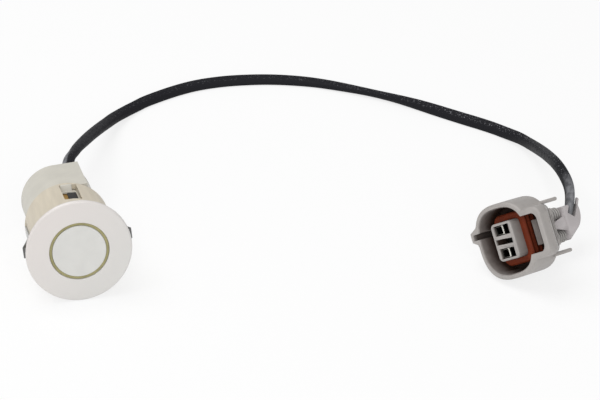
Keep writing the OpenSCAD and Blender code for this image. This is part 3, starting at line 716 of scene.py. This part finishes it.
def roll_at(place):
    """Turn of the jacket, in radians, at a place on the route counted in points; it changes smoothly."""
    keys = CABLE_ROLL
    i = next((k for k in range(len(keys) - 1) if place <= keys[k + 1][0]), len(keys) - 2)

    def slope(k):
        (a, low), (b, high) = keys[max(k - 1, 0)], keys[min(k + 1, len(keys) - 1)]
        return (high - low) / (b - a)

    (a, low), (b, high) = keys[i], keys[i + 1]
    u = (place - a) / (b - a)
    start, end = slope(i) * (b - a), slope(i + 1) * (b - a)
    bend = u ** 2 * (3 - 2 * u)
    return math.radians(low + (high - low) * bend + start * u * (1 - u) ** 2 - end * u ** 2 * (1 - u))


def swell_at(share):
    """Size of the jacket at a share of the way along it."""
    inward = min(1.0, min(share, 1 - share) / SLIM_END)
    return SLIM + (FULL - SLIM) * inward ** 2 * (3 - 2 * inward)


def smooth_line(points, steps):
    """Smooth line through the points, as pairs of place and turn; the jacket never sinks into the table."""
    s = wire()
    last = len(points) - 1
    places, rolls, floors = [], [], []
    for k in range(last * steps + 1):
        i = min(k // steps, last - 1)
        u = k / steps - i
        a, b, c, d = points[max(i - 1, 0)], points[i], points[i + 1], points[min(i + 2, last)]
        square, cube = 2 * a - 5 * b + 4 * c - d, 3 * b - a - 3 * c + d
        places.append(0.5 * (2 * b + (c - a) * u + square * u ** 2 + cube * u ** 3))
        roll = roll_at(k / steps)
        rolls.append(roll)
        swell = swell_at(k / (last * steps))
        floors.append(swell * math.hypot(s.width / 2 * math.sin(roll), s.thickness / 2 * math.cos(roll)))
    heights = [max(p.z, floor) for p, floor in zip(places, floors)]
    for k in range(EASE_PASSES):
        threes = zip(heights, heights[1:], heights[2:])
        eased = [(a + 2 * b + c) / 4 if b < EASE_BELOW else b for a, b, c in threes]
        heights = [heights[0], *(max(h, floor) for h, floor in zip(eased, floors[1:])), heights[-1]]
    for p, height in zip(places, heights):
        p.z = height
    return list(zip(places, rolls))


def sweep(line, width, thickness, sides):
    """Flat tube along a line, made by extruding an oval from point to point.

    Each vertex keeps its share of the way and how far it lies towards the top and the left of the jacket.
    Extruding makes the faces in no fixed order, so they are put in the order of their corners.
    """
    bm = bmesh.new()
    share = bm.verts.layers.float.new("along")
    crest = bm.verts.layers.float.new("crest")
    flank = bm.verts.layers.float.new("flank")
    last = len(line) - 1
    for i, (point, roll) in enumerate(line):
        way = (line[min(i + 1, last)][0] - line[max(i - 1, 0)][0]).normalized()
        side = way.cross(Vector((0, 0, 1))).normalized()
        level = Matrix((side, side.cross(way), way)).transposed().to_4x4()
        swell = swell_at(i / last)
        size = Matrix.Diagonal((swell * width / 2, swell * thickness / 2, 1, 1))
        place = Matrix.Translation(point) @ level @ Matrix.Rotation(roll, 4, "Z") @ size
        if i == 0:
            ring = bmesh.ops.create_circle(bm, cap_ends=True, radius=1, segments=sides, matrix=place)["verts"]
        else:
            edges = list({e for v in ring for e in v.link_edges if all(w in ring for w in e.verts)})
            made = bmesh.ops.extrude_edge_only(bm, edges=edges)
            ring = [g for g in made["geom"] if isinstance(g, bmesh.types.BMVert)]
            bmesh.ops.transform(bm, matrix=place @ before.inverted(), verts=ring)
        for v in ring:
            v[share] = i / last
            outward = (v.co - point).normalized()
            v[crest] = outward.z
            v[flank] = -outward.x
        before = place
    bmesh.ops.contextual_create(bm, geom=ring)
    bmesh.ops.recalc_face_normals(bm, faces=bm.faces)
    for v in bm.verts:
        v.co = Vector(min(max(c, low), high) for c, low, high in zip(v.co, *cad_box))
    bm.verts.index_update()

    def corner_order(face):
        indices = [v.index for v in face.verts]
        return len(bm.verts) * min(indices) + max(indices)

    bm.faces.sort(key=corner_order)
    return bm


# Operators

class SENSOR_OT_retainer(bpy.types.Operator):
    """Finish the painted flange and the sleeve behind it"""

    bl_idname = "sensor.retainer"
    bl_label = "Retainer"

    def execute(self, context):
        s = head()
        finish = painted_moulding("pearl_paint", s)
        finished_node("bezel_retainer", finish, s.edge)
        return {"FINISHED"}


class SENSOR_OT_case(bpy.types.Operator):
    """Finish the sensor case, the pad in its window, the sealing compound and the grommet"""

    bl_idname = "sensor.case"
    bl_label = "Case"

    def execute(self, context):
        s = head()
        finished_node("sensor_case", case_moulding("case_moulding", s), s.edge)
        finished_node("rattle_pad", soft_rubber("pad_foam", s.pad), s.edge)
        dress("potting", soft_rubber("sealing_compound", s.compound, rough=(0.2, 0.4), depth_mm=0.05))
        finished_node("cable_grommet", soft_rubber("grommet_rubber", s.grommet), s.edge)
        return {"FINISHED"}


class SENSOR_OT_transducer(bpy.types.Operator):
    """Finish the round face and the soft ring around it"""

    bl_idname = "sensor.transducer"
    bl_label = "Transducer"

    def execute(self, context):
        s = head()
        finished_node("isolator_ring", soft_rubber("olive_ring", s.ring), s.edge / 2)
        finished_node("transducer_cup", painted_cup("face_paint", s.face), s.edge / 2)
        return {"FINISHED"}


class SENSOR_OT_clips(bpy.types.Operator):
    """Finish the two spring clips"""

    bl_idname = "sensor.clips"
    bl_label = "Spring clips"

    def execute(self, context):
        s = head()
        finish = clip_steel("spring_steel", s)
        for side in ("left", "right"):
            finished_node("spring_clip_" + side, finish, CLIP_EDGE)
        return {"FINISHED"}


class SENSOR_OT_electronics(bpy.types.Operator):
    """Give the pieces sealed inside the case and the wires in the connector their finishes"""

    bl_idname = "sensor.electronics"
    bl_label = "Electronics"

    def execute(self, context):
        red = moulded("red_insulation", (0.42, 0.04, 0.03))
        black = moulded("black_insulation", (0.02, 0.02, 0.02))
        white = moulded("white_insulation", (0.66, 0.66, 0.64))
        finishes = {
            "piezo_disc": sheet_metal("silvered_ceramic", (0.62, 0.58, 0.47)),
            "absorber_pad": soft_rubber("open_foam", (0.08, 0.08, 0.09), depth_mm=0.15),
            "cup_filler": soft_rubber("cast_silicone", (0.45, 0.45, 0.42)),
            "lead_wire_a": red,
            "lead_wire_b": black,
            "circuit_board": moulded("solder_mask", (0.01, 0.11, 0.035), rough=(0.2, 0.35)),
            "transformer_core": moulded("ferrite", (0.035, 0.035, 0.04), rough=(0.5, 0.7)),
            "transformer_winding": sheet_metal("copper_winding", (0.6, 0.22, 0.09), (1.0, 1.0, 14.0)),
            "driver_chip": moulded("chip_moulding", (0.012, 0.012, 0.012)),
            "storage_capacitor": sheet_metal("capacitor_can", (0.66, 0.67, 0.7)),
            "ceramic_capacitor": moulded("tan_ceramic", (0.34, 0.21, 0.1)),
            "core_wire_a": red,
            "core_wire_b": white,
            "plug_wire_upper": red,
            "plug_wire_lower": white,
        }
        for node, finish in finishes.items():
            dress(node, finish)
        return {"FINISHED"}


class SENSOR_OT_cable(bpy.types.Operator):
    """Lay the cable from the grommet to the rear cover"""

    bl_idname = "sensor.cable"
    bl_label = "Cable"

    def execute(self, context):
        s = wire()
        line = smooth_line(route(), s.steps)
        tube = sweep(line, s.width, s.thickness, s.sides)
        mesh = to_mesh(tube, "cable_jacket", CABLE_CRISP_ABOVE)
        piece = show("cable_jacket", mesh, jacket("jacket", s.jacket, s.painted_highlight), ["cable"])
        return {"FINISHED"}


class SENSOR_OT_connector(bpy.types.Operator):
    """Finish the connector housing, its seal, terminals and lock"""

    bl_idname = "sensor.connector"
    bl_label = "Connector"

    def execute(self, context):
        s = plug()
        housing = finished_node(
            "connector_housing", housing_moulding("housing_moulding", s), s.edge
        )
        mark_mouth(housing.data, s)
        silicone = soft_rubber("seal_silicone", s.seal, bloom=0.0, gloss=0.2)
        on_cable = [
            housing,
            finished_node("connector_seal", silicone, s.edge),
            finished_node("terminal_lock", moulded("lock_moulding", s.lock), s.edge),
        ]
        contact = contact_plate("tin_plate", s)
        for level in ("upper", "lower"):
            on_cable.append(finished_node("terminal_" + level, contact, CONTACT_EDGE))
        for piece in on_cable:
            piece["sensor_on_cable"] = True
        return {"FINISHED"}


class SENSOR_OT_rear_cover(bpy.types.Operator):
    """Finish the rear cover and the ribbed wire seals"""

    bl_idname = "sensor.rear_cover"
    bl_label = "Rear cover"

    def execute(self, context):
        s = plug()
        on_cable = [finished_node("rear_cover", moulded("cover_moulding", s.cover), s.edge)]
        finish = ribbed_silicone("wire_seal_silicone", s)
        for level in ("upper", "lower"):
            on_cable.append(finished_node("wire_seal_" + level, finish, RIB_EDGE))
            on_cable.append(frame["nodes"]["plug_wire_" + level])
        for piece in on_cable:
            piece["sensor_on_cable"] = True
        return {"FINISHED"}


class SENSOR_OT_stage(bpy.types.Operator):
    """Set the pale table top, the soft lights and the camera"""

    bl_idname = "sensor.stage"
    bl_label = "Stage"

    def execute(self, context):
        s = stage()
        scene = context.scene
        scene.view_settings.view_transform = "Standard"
        self.table_top(scene, s)
        self.lights(scene, s)
        self.camera(scene, s)
        return {"FINISHED"}

    def table_top(self, scene, s):
        """Lays the table top."""
        bm = bmesh.new()
        bmesh.ops.create_grid(bm, x_segments=1, y_segments=1, size=TABLE_HALF)
        mesh = bpy.data.meshes.new("table_top")
        bm.to_mesh(mesh)
        bm.free()
        table = bpy.data.objects.new("table_top", mesh)
        scene.collection.objects.link(table)
        mesh.materials.append(self.table_finish(s))

    def table_finish(self, s):
        """Pale matt finish that the camera sees almost white, with the shadow kept."""
        finish = bpy.data.materials.new("table_finish")
        tree = bare_tree(finish)
        rays = add(tree, "LightPath").outputs
        seen = maths(tree, "MAXIMUM", rays["Is Camera Ray"], rays["Is Glossy Ray"])
        seen = maths(tree, "MAXIMUM", seen, rays["Is Transmission Ray"])
        lift = maths(tree, "MULTIPLY", seen, TABLE_LIFT)
        matt = add(tree, "BsdfDiffuse", {"Color": rgba(s.floor)}).outputs[0]
        white = add(tree, "Emission", {"Color": (1, 1, 1, 1), "Strength": 1.0}).outputs[0]
        mixed = add(tree, "MixShader", {0: lift, 1: matt, 2: white}).outputs[0]
        add(tree, "OutputMaterial", {"Surface": mixed})
        return finish

    def lights(self, scene, s):
        """Sets the even light and the two softboxes."""
        world = bpy.data.worlds.new("even_light")
        tree = bare_tree(world)
        sky = add(tree, "Background", {"Color": (1, 1, 1, 1), "Strength": s.sky}).outputs[0]
        add(tree, "OutputWorld", {"Surface": sky})
        scene.world = world
        boxes = {"key_softbox": (KEY_PLACE, s.key), "fill_softbox": (FILL_PLACE, s.fill)}
        for name, (place, power) in boxes.items():
            lamp = bpy.data.lights.new(name, "AREA")
            lamp.shape = "SQUARE"
            lamp.size = BOX_WIDTH
            lamp.energy = power
            lit = bpy.data.objects.new(name, lamp)
            lit.location = place
            lit.rotation_euler = (LIT - place).to_track_quat("-Z", "Y").to_euler()
            scene.collection.objects.link(lit)

    def camera(self, scene, s):
        """Sets the camera at the photo's angle."""
        aim = Vector(s.aim)
        away = Vector((
            math.sin(s.azimuth) * math.cos(s.elevation),
            -math.cos(s.azimuth) * math.cos(s.elevation),
            math.sin(s.elevation),
        ))
        lens = bpy.data.cameras.new("photo_camera")
        lens.sensor_fit = "HORIZONTAL"
        lens.sensor_width = SENSOR_WIDTH
        lens.lens = s.lens
        viewer = bpy.data.objects.new("photo_camera", lens)
        viewer.location = aim + away * s.distance
        viewer.rotation_euler = (-away).to_track_quat("-Z", "Y").to_euler()
        scene.collection.objects.link(viewer)
        scene.camera = viewer


class SENSOR_PT_panel(bpy.types.Panel):
    """Lists the sensor's pieces and settings"""

    bl_label = "Parking Sensor"
    bl_idname = "SENSOR_PT_panel"
    bl_space_type = "VIEW_3D"
    bl_region_type = "UI"
    bl_category = "Sensor"

    def draw(self, context):
        for operator in OPERATORS:
            self.layout.operator(operator.bl_idname)
        for settings in (head(), wire(), plug(), stage()):
            box = self.layout.box()
            for key in settings.__annotations__:
                box.prop(settings, key)


SETTINGS = {
    "sensor_head": SensorHeadSettings,
    "sensor_cable": CableSettings,
    "sensor_connector": ConnectorSettings,
    "sensor_stage": StageSettings,
}
OPERATORS = (
    SENSOR_OT_stage,
    SENSOR_OT_retainer,
    SENSOR_OT_case,
    SENSOR_OT_transducer,
    SENSOR_OT_clips,
    SENSOR_OT_electronics,
    SENSOR_OT_connector,
    SENSOR_OT_rear_cover,
    SENSOR_OT_cable,
)


def register():
    """Registers the settings, the operators and the panel."""
    for settings in SETTINGS.values():
        bpy.utils.register_class(settings)
    for key, settings in SETTINGS.items():
        setattr(bpy.types.Scene, key, bpy.props.PointerProperty(type=settings))
    for operator in OPERATORS:
        bpy.utils.register_class(operator)
    bpy.utils.register_class(SENSOR_PT_panel)


def unregister():
    """Takes back what register() did."""
    bpy.utils.unregister_class(SENSOR_PT_panel)
    for operator in reversed(OPERATORS):
        bpy.utils.unregister_class(operator)
    for key, settings in SETTINGS.items():
        delattr(bpy.types.Scene, key)
        bpy.utils.unregister_class(settings)


def main():
    """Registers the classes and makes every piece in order."""
    register()
    for operator in OPERATORS:
        group, name = operator.bl_idname.split(".")
        getattr(getattr(bpy.ops, group), name)()


if __name__ == "__main__":
    main()
